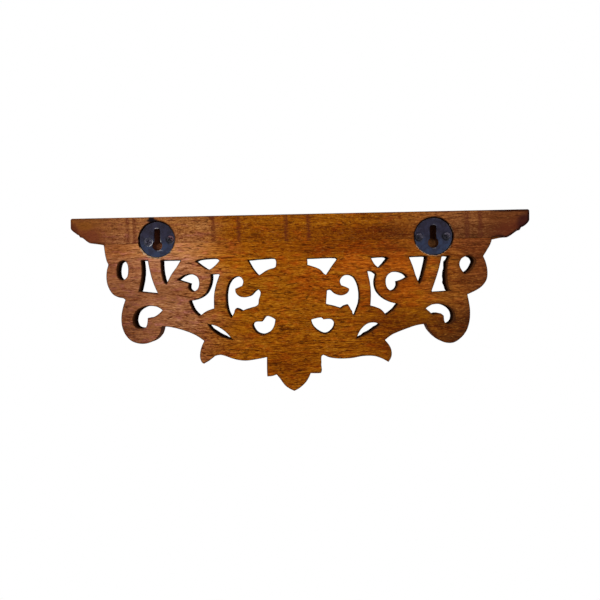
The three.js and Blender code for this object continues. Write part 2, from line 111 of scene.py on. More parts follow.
for hanger in HANGERS:
    hanger.node = f"hanger_plate_{hanger.side}"
    hanger.middle = node_middle(hanger.node)
    hanger.screws = [f"hanger_screw_{2 * hanger.number + k}" for k in (1, 2)]
    hanger.screw_middles = [node_middle(name) for name in hanger.screws]

# The finishes of a wooden piece: its face, the walls of its openings, wood that a drill laid
# bare, and its outer edges.
FACE = 0
SAWN = 1
BARE = 2
OUTER = 3

# Forms: points and faces gathered patch by patch


def link(name, data):
    """A new object in the scene."""
    made = bpy.data.objects.new(name, data)
    bpy.context.scene.collection.objects.link(made)
    return made


def change_mesh(mesh, change):
    """Change a mesh by a function of its editable form."""
    work = bmesh.new()
    work.from_mesh(mesh)
    change(work)
    work.to_mesh(mesh)
    work.free()


class Form:
    """Points and faces of one piece, with a finish number for each face."""

    def __init__(self):
        self.points = []
        self.faces = []
        self.finishes = []
        self.count = 0

    def add(self, points, faces, finish=FACE):
        self.points.append(points)
        self.faces += [tuple(self.count + i for i in face) for face in faces]
        self.finishes += [finish] * len(faces)
        self.count += len(points)

    def piece(self, name, coats=(), weld=False):
        mesh = bpy.data.meshes.new(name)
        for coat in coats:
            mesh.materials.append(coat)
        mesh.from_pydata((np.vstack(self.points) * MM).tolist(), [], self.faces)
        mesh.polygons.foreach_set("material_index", self.finishes)
        if weld:
            change_mesh(mesh, lambda work: bmesh.ops.remove_doubles(
                work, verts=work.verts, dist=WELD * MM))
        mesh.shade_smooth()
        return link(name, mesh)


def outward(piece):
    change_mesh(piece.data, lambda work: bmesh.ops.recalc_face_normals(work, faces=work.faces))
    return piece


def grid_faces(rows, columns, closed=False):
    """Four-sided faces between rows of points, whose columns may close into a ring."""
    span = columns if closed else columns - 1
    starts = [(r * columns, c) for r in range(rows - 1) for c in range(span)]
    edges = [(first + c, first + (c + 1) % columns) for first, c in starts]
    return [(a, b, b + columns, a + columns) for a, b in edges]


def tube(name, rings, finish, coats=()):
    """A closed piece over rings of points in a row, with a face over each end."""
    count = len(rings[0])
    last = (len(rings) - 1) * count
    ends = [tuple(range(count)), tuple(range(last, last + count))]
    form = Form()
    form.add(np.vstack(rings), grid_faces(len(rings), count, closed=True) + ends, finish)
    return outward(form.piece(name, coats))


def stacked(*parts):
    """Points from a column of numbers, or one number, for each axis."""
    return np.stack(np.broadcast_arrays(*parts), axis=-1)


def flat_y(flat, height):
    """Points of a drawing in X and Z, with their heights running away from the wall."""
    return stacked(flat[:, 0], -height, flat[:, 1])


def flat_x(flat, height):
    """Points of a drawing in Y and Z, with their heights running along the shelf."""
    return stacked(height, flat[:, 0], flat[:, 1])


def turn_angles(count):
    return np.arange(count) * 2 * math.pi / count


def round_points(middle, radius, angles):
    return stacked(middle[0] + radius * np.cos(angles), middle[1] + radius * np.sin(angles))


def lathe(middle, rows, angles):
    """Rings of points about a line along -Y, from rows of a radius and a depth."""
    return [flat_y(round_points(middle, radius, angles), depth) for radius, depth in rows]


# Curves and noise


def smoothstep(value, low, high):
    t = np.clip((value - low) / (high - low), 0, 1)
    return t * t * (3 - 2 * t)


def bell(value, middle, width):
    return np.exp(-((value - middle) / width) ** 2)


def notch(value, middle, half):
    """One at the middle, falling to nothing in a straight line on both sides."""
    return np.clip(1 - np.abs(value - middle) / half, 0, 1)


def rounded(distance, radius):
    """How far a rounded edge lies below the face at a distance from the outline."""
    inner = np.clip(radius - distance, 0, None)
    return radius - np.sqrt(np.maximum(radius**2 - inner**2, 0))


def ripple(points, scale, seed=0.0):
    """Smooth noise from -1 to 1 at flat points."""
    return np.array([noise.noise((x * scale, y * scale, seed)) for x, y in points])


def near_place(points, place, size, core=0.6):
    """One within the core of a place, falling to nothing at 1.1 of its size."""
    away = np.hypot(*((points - place) / size).T)
    return 1 - smoothstep(away, core, 1.1)


# Outlines: closed lines of points in a plane, with the wood on their left


def face_loops(name, axis, level):
    """Edge lines of the flat face of a CAD node at a level on an axis, the longest first."""
    mesh = nodes[name].data
    keep = [a for a in range(3) if a != axis]
    places = [tuple(round(c / MM, 3) for c in v.co) for v in mesh.vertices]
    edges = {}
    for face in mesh.polygons:
        corners = [places[i] for i in face.vertices]
        if all(abs(c[axis] - level) < 0.02 for c in corners):
            edges.update(dict.fromkeys(zip(corners, corners[1:] + corners[:1])))
    after = {a: b for a, b in edges if (b, a) not in edges}
    loops = []
    while after:
        start, point = next(iter(after.items()))
        loop = [start]
        del after[start]
        while point != start:
            loop.append(point)
            point = after.pop(point)
        flat = np.array([[p[a] for a in keep] for p in loop])
        if np.ptp(flat, axis=0).max() > SMALLEST_OPENING:
            loops.append(flat)
    loops.sort(key=lambda loop: -abs(area(loop)))
    return [loop if (area(loop) > 0) == (i == 0) else loop[::-1] for i, loop in enumerate(loops)]


def area(loop):
    """The area in a loop: above zero round the wood, below zero round an opening."""
    x, y = loop[:, 0], loop[:, 1]
    return 0.5 * float(np.sum(x * np.roll(y, -1) - y * np.roll(x, -1)))


def smooth_line(line, step, corner=42, closed=True):
    """The line as a curve through its points, in steps of about step, with its corners kept."""
    ahead = np.roll(line, -1, axis=0) - line
    lengths = np.linalg.norm(ahead, axis=1)
    before = np.roll(lengths, 1)
    into = np.roll(ahead, 1, axis=0) / before[:, None]
    out = ahead / lengths[:, None]
    turn = np.degrees(np.arccos(np.clip(np.sum(into * out, axis=1), -1, 1)))
    share = (before / (lengths + before))[:, None]
    tangent = into * (1 - share) + out * share
    tangent /= np.linalg.norm(tangent, axis=1)[:, None]
    sharp = turn > corner
    if not closed:
        sharp[0] = sharp[-1] = True
    made = []
    for i in range(len(line) if closed else len(line) - 1):
        j = (i + 1) % len(line)
        start = out[i] if sharp[i] else tangent[i]
        end = into[j] if sharp[j] else tangent[j]
        count = max(1, math.ceil(lengths[i] / step - 0.2))
        for k in range(count):
            t = k / count
            made.append(
                line[i] * (2 * t**3 - 3 * t**2 + 1)
                + start * lengths[i] * (t**3 - 2 * t**2 + t)
                + line[j] * (3 * t**2 - 2 * t**3)
                + end * lengths[i] * (t**3 - t**2)
            )
    if not closed:
        made.append(line[-1])
    return np.array(made)


def sides(loop):
    """Unit normals into the wood of the edges before and after each point of a loop."""
    ahead = np.roll(loop, -1, axis=0) - loop
    ahead /= np.linalg.norm(ahead, axis=1)[:, None]
    after = stacked(-ahead[:, 1], ahead[:, 0])
    return np.roll(after, 1, axis=0), after


def inward(loop):
    before, after = sides(loop)
    middle = before + after
    return middle / np.maximum(np.linalg.norm(middle, axis=1), 1e-6)[:, None]


def nowhere(points):
    """The joint of an outline that meets no other piece."""
    return np.zeros(len(points), bool)


class Shore:
    """Distance from points to the edges of loops, apart from where joint() is true."""

    def __init__(self, loops, joint=nowhere, step=0.1):
        dense = []
        for loop in loops:
            for a, b in zip(loop, np.roll(loop, -1, axis=0)):
                count = max(1, math.ceil(np.linalg.norm(b - a) / step))
                dense.append(a + (b - a) * (np.arange(count) / count)[:, None])
        dense = np.vstack(dense)
        dense = dense[~joint(dense)]
        self.tree = KDTree(len(dense))
        for i, (x, y) in enumerate(dense):
            self.tree.insert((x, y, 0), i)
        self.tree.balance()

    def __call__(self, points):
        return np.array([self.tree.find((x, y, 0))[2] for x, y in points])


def inside(points, loops):
    """Which points lie in the wood, by counting the edges to their right."""
    count = np.zeros(len(points), int)
    x, y = points[:, 0], points[:, 1]
    for loop in loops:
        for (ax, ay), (bx, by) in zip(loop, np.roll(loop, -1, axis=0)):
            if ay != by:
                crossing = (ay > y) != (by > y)
                count += crossing & (x < ax + (y - ay) * (bx - ax) / (by - ay))
    return count % 2 == 1


def rows_along(loops, rings, shore, joint):
    """Points at the ring distances from the loops, three where the wood goes round a corner."""
    rows = []
    for loop in loops:
        before, after = sides(loop)
        half = np.clip(np.sum(before * after, axis=1), -1, 1)
        turning = before[:, 0] * after[:, 1] - before[:, 1] * after[:, 0]
        middle = inward(loop)
        stretch = 1 / np.sqrt(np.maximum((1 + half) / 2, 0.08))
        for reach in rings:
            for i in np.flatnonzero(~joint(loop)):
                ways = [middle[i] * stretch[i]]
                if turning[i] < -0.5:
                    ways = [before[i], middle[i], after[i]]
                for way in ways:
                    x, y = loop[i] + way * reach
                    if shore.tree.find((x, y, 0))[2] > reach * 0.96:
                        rows.append((x, y))
    return np.array(rows)


def scattered(loops, spacing, seed):
    """A slightly uneven grid of points over the wood."""
    draw = np.random.default_rng(seed)
    rim = np.vstack(loops)
    low, high = rim.min(axis=0), rim.max(axis=0)
    across = np.arange(low[0], high[0], spacing)
    up = np.arange(low[1], high[1], spacing * 0.866)
    grid = np.array([[x + spacing * 0.5 * (j % 2), y] for j, y in enumerate(up) for x in across])
    grid += draw.uniform(-0.12, 0.12, grid.shape) * spacing
    return grid[inside(grid, loops)]


def triangles(points, loops):
    """Triangles over the wood between points, of which those of the loops come first."""
    edges = []
    for loop in loops:
        first, n = len(edges), len(loop)
        edges += [(first + i, first + (i + 1) % n) for i in range(n)]
    faces, origin = delaunay_2d_cdt([Vector(p) for p in points.tolist()], edges, [], 1, 1e-7)[2:4]
    place = {i: min(sources) for i, sources in enumerate(origin) if sources}
    faces = np.array([[place[i] for i in face] for face in faces])
    faces = faces[inside(points[faces].mean(axis=1), loops)]
    a, b, c = (points[faces[:, k]] for k in range(3))
    clockwise = (b[:, 0] - a[:, 0]) * (c[:, 1] - a[:, 1]) < (c[:, 0] - a[:, 0]) * (b[:, 1] - a[:, 1])
    faces[clockwise] = faces[clockwise][:, ::-1]
    return faces.tolist()


def cover(loops, rings, spacing, joint=nowhere, seed=1):
    """Points and triangles over the wood between loops, with rows at the ring distances.

    The points of the loops come first, in order. Distances are to the edges that are no joint."""
    shore = Shore(loops, joint)
    whole = Shore(loops, step=0.3)
    rim = np.vstack(loops)
    grid = scattered(loops, spacing, seed)
    grid = grid[shore(grid) > rings[-1] + 0.4 * spacing]
    grid = grid[whole(grid) > 0.45 * spacing]
    points = np.vstack([rim, rows_along(loops, rings, shore, joint), grid])
    distance = shore(points)
    distance[:len(rim)][~joint(rim)] = 0
    return points, distance, triangles(points, loops)


def slab(form, back, front, low_height, high_height, rings, spacings, place, rows, joint=nowhere,
         outer=OUTER, reeds=None):
    """A sawn board: a cover on each side and walls between them.

    The heights are functions of points and distances. place() puts flat points at their
    heights into the row frame. The low side faces against the height and the high side along
    it. reeds() says how deep the outer edge is cut at a height."""
    rims = []
    for loops, height, ring, spacing, way in (
        (back, low_height, rings[0], spacings[0], -1),
        (front, high_height, rings[1], spacings[1], 1),
    ):
        points, distance, faces = cover(loops, ring, spacing, joint)
        level = height(points, distance)
        form.add(place(points, level), [face[::way] for face in faces])
        rims.append((points, level))
    first = 0
    for loop in back:
        n = len(loop)
        a, b = (rim[0][first:first + n] for rim in rims)
        low, high = (rim[1][first:first + n] for rim in rims)
        lines = []
        for r in range(rows + 1):
            t = r / rows
            level = low * (1 - t) + high * t
            sunk = np.abs(math.sin(math.pi * t) * 0.1 * ripple(a, 0.6, 3.0 + t))
            if reeds and first == 0:
                sunk += np.where(joint(a), 0, reeds(level))
            lines.append(place(a * (1 - t) + b * t + inward(loop) * sunk[:, None], level))
        form.add(np.vstack(lines), grid_faces(rows + 1, n, closed=True), outer if first == 0 else SAWN)
        first += n


# Cutting


def cut(piece, tool):
    """Take the tool's volume out of a piece, and remove the tool."""
    for coat in piece.data.materials:
        tool.data.materials.append(coat)
    change = piece.modifiers.new("cut", "BOOLEAN")
    change.operation = "DIFFERENCE"
    change.solver = "MANIFOLD"
    change.object = tool
    graph = bpy.context.evaluated_depsgraph_get()
    fresh = bpy.data.meshes.new_from_object(piece.evaluated_get(graph))
    piece.modifiers.clear()
    old = piece.data
    piece.data = fresh
    fresh.name = piece.name
    bpy.data.meshes.remove(old)
    bpy.data.objects.remove(tool)


def keyhole_loop(middle, grow=0.0):
    """The keyhole seen along Y: a slot above a round entry, counter-clockwise in X and Z."""
    x, z = middle
    half = KEYHOLE_HALF + grow
    top = z + KEYHOLE_TOP + grow
    corner = min(KEYHOLE_CORNER + grow, half)
    radius = ENTRY_RADIUS + grow
    opening = math.asin(min(half / radius, 1))
    points = []

    def arc(cx, cz, r, start, end):
        count = max(4, math.ceil(abs(end - start) * r / ARC_STEP))
        for i in range(count + 1):
            a = start + (end - start) * i / count
            points.append((cx + r * math.cos(a), cz + r * math.sin(a)))

    arc(x + half - corner, top - corner, corner, 0, math.pi / 2)
    arc(x - half + corner, top - corner, corner, math.pi / 2, math.pi)
    arc(x, z - ENTRY_DROP, radius, math.pi / 2 + opening, math.pi * 2.5 - opening)
    return np.array(points)


def recess_tool(hanger):
    """The drilled seat of a plate. Its rim is torn, most of all below."""
    angles = turn_angles(240)
    loose = ripple(round_points((0, 0), 6, angles), 1, 5 * hanger.number)
    chips = ripple(round_points((0, 0), 2.2, angles), 1, 5 * hanger.number + 9)
    below = np.clip(np.cos(angles + 1.15), 0, 1) ** 0.6
    torn = (0.08 + hanger.torn_below * below * (0.7 + 0.9 * loose) + 0.25 * np.clip(loose, 0, 1)
            + 0.8 * np.clip(chips - 0.2, 0, 1))
    rows = [(RECESS_RADIUS + max(0, 1 - depth / TORN_DEPTH) * torn, depth)
            for depth in (-1, 0, 0.15, 0.35, TORN_DEPTH, RECESS_DEPTH)]
    return tube("recess", lathe(hanger.middle + hanger.seat_shift, rows, angles), BARE)


def hang(piece):
    """Cut the seats of the plates and the pockets behind their keyholes."""
    for hanger in HANGERS:
        cut(piece, recess_tool(hanger))
        loop = keyhole_loop(hanger.middle, POCKET_MARGIN)
        cut(piece, tube("pocket", [flat_y(loop, depth) for depth in (PLATE_FACE, POCKET_FLOOR)], BARE))


# The fretwork panel

CARVED_LINE = 3.2
PANEL_RINGS = ([0.08, 0.2, 0.38, 0.62, 0.95], [0.1, 0.25, 0.5, 0.9, 1.7, 2.5, 2.9, 3.2, 3.5, 3.9])
RAGGED = ((-128, -38), (8, 15))

# Where the saw strayed: place, size and shift.
HAND_CUTS = (
    ((-22.4, -104.2), (5, 9), (-0.9, 0)),
    ((-144.5, -26), (5, 5), (-1.0, 0.5)),
    ((-107.5, -66), (6, 6), (-0.7, 0)),
    ((-46.7, -70.3), (2.4, 4), (-1.0, 0)),
    ((43.2, -66.5), (7, 4), (1.3, 0)),
)

# Where the saw leant over: place, size, how far, and on which side the wood lies there.
LEANINGS = (((-76, -27), (6, 6), 1.2, (-1, 0)), ((132, -70), (8, 14), 1.0, (1, 0)))
LEAVES = ((-62.5, -84.5), (61, -85))


def seam(points):
    return points[:, 1] > PANEL_TOP - 0.02


def panel_back(points, distance):
    return rounded(distance, 0.5 + 0.15 * ripple(points, 0.15, 5.0))


def panel_front(points, distance):
    """The show face: rounded edges, and a carved line that follows them."""
    line = 0.55 + 0.2 * ripple(points, 0.08, 2.0)
    return PANEL_THICKNESS - rounded(distance, 0.7) - notch(distance, CARVED_LINE, 0.6) * line


def wood_towards(loop, across, up):
    """How far the wood at each point of an outline lies in a direction, 0 to 1."""
    return np.clip(inward(loop) @ (across, up), 0, 1)


def cut_by_hand(loop):
    """The wall side's outline, with the strayed cuts and one flared opening narrower below."""
    for place, size, shift in HAND_CUTS:
        loop = loop + near_place(loop, place, size)[:, None] * shift
    narrower = 1.3 * near_place(loop, *RAGGED) * wood_towards(loop, -1, 0)
    return loop - inward(loop) * narrower[:, None]


def torn_edge(loop):
    """The show face's outline. The saw leant over at one end, and tore one flared opening."""
    opening = area(loop) < 0
    right = wood_towards(loop, -1, 0)
    leaning = opening * 0.9 * smoothstep(-loop[:, 0], 85, 130) * right
    leaning *= 1 - 0.7 * near_place(loop, (-128, -24), (5, 4))
    for place, size, reach, way in LEANINGS:
        leaning += reach * near_place(loop, place, size) * wood_towards(loop, *way)
    for leaf in LEAVES:
        leaning += opening * 0.9 * near_place(loop, leaf, (8, 7)) * wood_towards(loop, 0, -1)
    ragged = near_place(loop, *RAGGED) * right * 0.8 * ripple(loop, 0.3, 1.0)
    return loop + inward(loop) * (0.1 * ripple(loop, 0.35, 8.0) - leaning - ragged)[:, None]


def fret_panel(coats):
    loops = [cut_by_hand(smooth_line(loop, 0.85))
             for loop in face_loops("fret_panel", 1, -PANEL_THICKNESS)]
    fronts = []
    for loop in loops:
        top = seam(loop)
        closed = 1 - 0.45 * smoothstep(np.abs(loop[top, 0]), 122, 138)
        loop[top, 1] += (BOARD_UNDERSIDE - PANEL_TOP - 0.01) * closed
        front = torn_edge(loop)
        front[top] = loop[top]
        fronts.append(front)
    form = Form()
    slab(form, loops, fronts, panel_back, panel_front, PANEL_RINGS, (2.0, 1.6), flat_y, 7, seam)
    made = form.piece("fret_panel_piece", coats, weld=True)
    hang(made)
    return made, Shore(loops, seam)


# The board

BACK_EDGE = 0.45
BACK_RINGS = [0.06, 0.15, 0.28, 0.45, 0.8]
COVE_DROP = 1.1
COVE_INSET = 16.5
FULLER = 1.0
FULLER_INSET = 12.0
TOP_CORNER = 1.5
ALONG = 240
DEEP = 64
SAW_BANDS = (140.4, 134.3, 66.8, 45.2, 5.4, -13.2, -141.4, -152.0)


def board_profile():
    """Distance in from the end and height of the moulding, from the underside to the top."""
    drawn = face_loops("shelf_board", 1, 0)[0]
    keep = drawn[drawn[:, 0] > PANEL_END - 1]
    keep = keep[np.argsort(keep[:, 1] + keep[:, 0] * 1e-3)]
    line = smooth_line(stacked(HALF_LENGTH - keep[:, 0], keep[:, 1]), 0.55, corner=20, closed=False)
    line[:, 1] -= COVE_DROP * bell(line[:, 0], COVE_INSET, 5)
    line = np.maximum(line, (0, BOARD_UNDERSIDE))
    line = line[line[:, 1] < BOARD_TOP - TOP_CORNER - 0.2]
    turn = np.linspace(0, math.pi / 2, 9)
    corner = stacked(1 - np.cos(turn), np.sin(turn) - 1) * TOP_CORNER + (0, BOARD_TOP)
    return np.vstack([line, corner])


def reaches(inset):
    """How far the board's right and left ends reach. The moulding is fuller at the right."""
    reach = HALF_LENGTH - inset
    return -reach - FULLER * bell(inset, FULLER_INSET, 5), reach


def dip(points):
    """How much lower the hand-worked moulding of the ends lies than its drawn line.

    Beside the panel the underside rises a little away from the wall."""
    x, y, z = points.T
    right = x < 0
    inset = HALF_LENGTH - np.abs(x)
    lower = np.where(right, bell(inset, 5.0, 4.2) + 0.8 * bell(inset, 18.5, 3.0),
                     0.7 * bell(inset, 6.2, 1.8))
    lower *= 1 - smoothstep(-y, 20, 90)
    beside = np.where(inset < HALF_LENGTH - PANEL_END - 0.1, 1,
                      smoothstep(-inset, -40, -29) * smoothstep(-y, 16, 30))
    rise = np.where(right, 0.065, 0.03) * np.clip(-y, 0, 30) * (1 - smoothstep(-y, 98, 112))
    rise *= beside * smoothstep(inset, 14, 20)
    return (lower - rise) * smoothstep(BOARD_TOP - z, 6, 8.5)


def board_seam(points):
    return (points[:, 1] < BOARD_UNDERSIDE + 0.02) & (np.abs(points[:, 0]) < PANEL_END)


def board_back(points, distance):
    """The sawn back edge, with shallow marks of the saw."""
    marks = 0.05 * np.abs(ripple(points * (1.4, 0.12), 0.6, 4.0))
    for place in SAW_BANDS:
        marks += 0.06 * bell(points[:, 0] - 0.03 * points[:, 1], place, 0.8)
    marks += 0.07 * np.clip(ripple(points * (0.12, 1.0), 1.2, 6.0) - 0.15, 0, 1)
    sunk = marks * smoothstep(distance, 0.3, 1.2) + rounded(distance, BACK_EDGE)
    return np.where(board_seam(points), 0, sunk)


def shelf_board(coats):
    profile = board_profile()
    starts = [0.0] + [BACK_EDGE] * (len(profile) - 1)
    along = np.linspace(0, 1, ALONG + 1)
    deep = np.linspace(0, 1, DEEP + 1)

    def spread(row):
        """A row's points along the front, their depths along the ends, and its height."""
        inset, height = profile[row]
        right, left = reaches(inset)
        depth = starts[row] + deep * (BOARD_DEPTH - inset - starts[row])
        return right + (left - right) * along, depth, height

    form = Form()
    rows = []
    for row in range(len(profile)):
        across, depth, height = spread(row)
        x = np.pad(across, DEEP, mode="edge")
        y = np.concatenate([-depth, np.full(ALONG - 1, -depth[-1]), -depth[::-1]])
        rows.append(stacked(x, y, height))
    form.add(np.vstack(rows), grid_faces(len(rows), len(rows[0])))
    for row in (0, -1):
        across, depth, height = spread(row)
        flat = stacked(*np.meshgrid(across, -depth), height)
        form.add(flat.reshape(-1, 3), grid_faces(DEEP + 1, ALONG + 1))
    right, left = reaches(profile[:, 0])
    under, over = (stacked(spread(row)[0], profile[row][1]) for row in (0, -1))
    rising, falling = stacked(left, profile[:, 1]), stacked(right, profile[:, 1])[::-1]
    loop = np.vstack([line[:-1] for line in (under, rising, over[::-1], falling)])
    points, distance, faces = cover([loop], BACK_RINGS, 0.75, board_seam, 3)
    form.add(flat_y(points, board_back(points, distance)), faces)
    made = outward(form.piece("shelf_board_piece", coats, weld=True))
    places = points_of(made)
    places[:, 2] -= dip(places)
    made.data.vertices.foreach_set("co", (places * MM).ravel())
    hang(made)
    loop[:, 1] -= dip(np.insert(loop, 1, 0, axis=1))
    return made, Shore([loop], board_seam)


# The centre bracket

BRACKET_HALF = BRACKET_HIGH[0]
BRACKET_LINE = 4.0
BRACKET_REED = 4.4
BRACKET_RINGS = ([0.12, 0.3, 0.6, 1.0, 1.6, 2.6, 3.3, 3.65, 4.0, 4.35, 4.7],) * 2


def bracket_joint(points):
    return (points[:, 1] > BRACKET_HIGH[2] - 0.02) | (points[:, 0] > BRACKET_HIGH[1] - 0.02)


def bracket_left(points, distance):
    """Half the thickness: rounded edges, and a carved line that follows them."""
    return BRACKET_HALF - rounded(distance, 1.6) - 0.6 * notch(distance, BRACKET_LINE, 0.7)


def bracket_right(points, distance):
    return -bracket_left(points, distance)


def bracket_reeds(level):
    """Two cut lines along the bracket's outer edge."""
    return 0.8 * notch(np.abs(level), BRACKET_REED, 0.8)


def centre_bracket(coats):
    loops = [smooth_line(loop, 0.7) for loop in face_loops("centre_bracket", 0, BRACKET_HALF)]
    form = Form()
    slab(form, loops, loops, bracket_right, bracket_left, BRACKET_RINGS, (1.1, 1.1), flat_x, 44,
         bracket_joint, FACE, bracket_reeds)
    return form.piece("centre_bracket_piece", coats, weld=True), Shore(loops, bracket_joint)


# The keyhole plates and their screws

PLATE_RINGS = ([0.05, 0.12, 0.22, 0.34], [0.06, 0.14])
DISH_RADIUS = 3.9
SHANK_HOLE = 1.9
SCREW_HEAD_RADIUS = 3.0
SCREW_LENGTH = 11.9
THREAD_PITCH = 1.5
SCREW_NECK = ((SCREW_HEAD_RADIUS, 0.12), (SCREW_HEAD_RADIUS, 0.3), (2.6, 1.2), (1.6, 2.2), (1.3, 2.6))


def circle(middle, radius, count, way=1):
    return round_points(middle, radius, turn_angles(count) * way)


def hanger_plate(hanger, coats):
    loops = [circle(hanger.middle, PLATE_RADIUS, 200), keyhole_loop(hanger.middle)[::-1]]
    loops += [circle(middle, SHANK_HOLE, 36, -1) for middle in hanger.screw_middles]

    def outer(points, distance):
        level = PLATE_FACE + rounded(distance, 0.32)
        for middle in hanger.screw_middles:
            away = np.hypot(*(points - middle).T)
            level = np.maximum(level, PLATE_FACE + np.clip(DISH_RADIUS - away, 0, 1.9) * 0.62)
        return level + 0.03 * np.abs(ripple(points, 0.35, 7.0 * hanger.number))

    def inner(points, distance):
        return PLATE_FACE + PLATE_THICKNESS - rounded(distance, 0.12)

    form = Form()
    slab(form, loops, loops, outer, inner, PLATE_RINGS, (0.4, 1.2), flat_y, 3, outer=SAWN)
    return form.piece(f"{hanger.node}_piece", coats, weld=True), Shore(loops)


def plate_wear_and_painted_light(points, hanger):
    """Rubbed paint round the screws' dishes, brightest on one side as a painted highlight, painted glints
    round the keyhole, and painted shade below the dishes.
    """
    bright_marks = np.zeros(len(points))
    shade = np.zeros(len(points))
    for middle, share, dark in zip(hanger.screw_middles, hanger.dish_wear_and_highlight, hanger.dish_shade):
        x, z = (points - middle).T
        away, angle = np.hypot(x, z), np.arctan2(z, x)
        side = 0.15 + 0.85 * smoothstep(np.cos(angle - 3.8), 0.2, 0.85)
        bright_marks = np.maximum(bright_marks, notch(away, 3.45, 0.5) * side * share)
        below = smoothstep(np.cos(angle + 0.8), 0.1, 0.7)
        dished = smoothstep(away, 2.6, 3.2) * (1 - smoothstep(away, 3.9, 4.4))
        shade = np.maximum(shade, dished * below * dark)
    for place, size, share in hanger.glints:
        bright_marks = np.maximum(bright_marks, share * near_place(points - hanger.middle, place, size, 0.5))
    return bright_marks, shade


def screw(name, middle, turn, coats):
    """A countersunk screw with a cross recess and a rolled thread."""
    angles = turn_angles(72)
    rows = []
    for radius in np.linspace(0.06, SCREW_HEAD_RADIUS - 0.12, 26):
        x, y = np.abs(round_points((0, 0), radius, angles - turn)).T
        arm, along = np.minimum(x, y), np.maximum(x, y)
        recess = (1 - smoothstep(arm, 0.3, 0.62)) * (1 - smoothstep(along, 1.5, 2.15))
        well = 1.2 * (1 - smoothstep(radius, 0.6, 1.2))
        dome = 0.06 * (radius / SCREW_HEAD_RADIUS) ** 2
        rows.append((radius, dome + np.maximum(recess * (1.5 - 0.45 * along), well)))
    rows += SCREW_NECK
    for depth in np.arange(2.8, SCREW_LENGTH - 0.3, 0.14):
        swing = np.abs(((depth / THREAD_PITCH + angles / (2 * math.pi)) % 1) - 0.5) * 2
        body = min(1.0, (SCREW_LENGTH - depth) / 3)
        rows.append((body * (1.05 + 0.45 * swing**3), depth))
    rows.append((0.03, SCREW_LENGTH))
    rows = [(radius, PLATE_FACE + depth) for radius, depth in rows]
    return tube(name, lathe(middle, rows, angles), FACE, coats)


# Finishes: an expression on values adds its Math nodes, and node() adds any other node


def operator(operation, reflected=False):
    """An operator of values that adds a Math node."""
    def apply(self, other=0.0):
        first, second = (other, self) if reflected else (self, other)
        return self.finish.node("ShaderNodeMath", {0: first, 1: second}, operation=operation)
    return apply


class Value:
    """A number that changes over the surface."""

    def __init__(self, finish, socket):
        self.finish = finish
        self.socket = socket

    __add__, __radd__ = operator("ADD"), operator("ADD", True)
    __sub__, __rsub__ = operator("SUBTRACT"), operator("SUBTRACT", True)
    __mul__, __rmul__ = operator("MULTIPLY"), operator("MULTIPLY", True)
    __abs__ = operator("ABSOLUTE")


def tint(colour):
    """A screen colour, 0 to 255, in the shader's own scale. A value stays what it is."""
    if isinstance(colour, Value):
        return colour
    scaled = [c / 255 for c in colour]
    return [c / 12.92 if c <= 0.04045 else ((c + 0.055) / 1.055) ** 2.4 for c in scaled] + [1.0]


def named(sockets, key):
    """A socket by its number, or by its own or its shown name."""
    if isinstance(key, int):
        return sockets[key]
    return next(s for s in sockets if key in (s.identifier, s.name))


class Finish:
    """The nodes of one material or of the world."""

    def __init__(self, owner):
        self.owner = owner
        owner.use_nodes = True
        self.tree = owner.node_tree
        self.tree.nodes.clear()

    def node(self, kind, sockets={}, output=0, **settings):
        """A node with its settings, and with a value or a link for each named socket."""
        made = self.tree.nodes.new(kind)
        for key, value in settings.items():
            if key == "stops":
                made.color_ramp.elements.new(0.5)
                for stop, (place, colour) in zip(made.color_ramp.elements, value):
                    stop.position = place
                    stop.color = colour
            else:
                setattr(made, key, value)
        for key, value in sockets.items():
            target = named(made.inputs, key)
            if isinstance(value, Value):
                self.tree.links.new(value.socket, target)
            else:
                target.default_value = value
        if made.outputs:
            return Value(self, named(made.outputs, output))

    def white_rays(self):
        """One for the rays that meet a plain white background."""
        camera, mirrored, passing = (self.node("ShaderNodeLightPath", output=f"Is {name} Ray")
                                     for name in ("Camera", "Glossy", "Transmission"))
        return camera + mirrored + passing

    def split(self, share, first, second, output):
        both = self.node("ShaderNodeMixShader", {0: share, 1: first, 2: second})
        self.node(output, {"Surface": both})


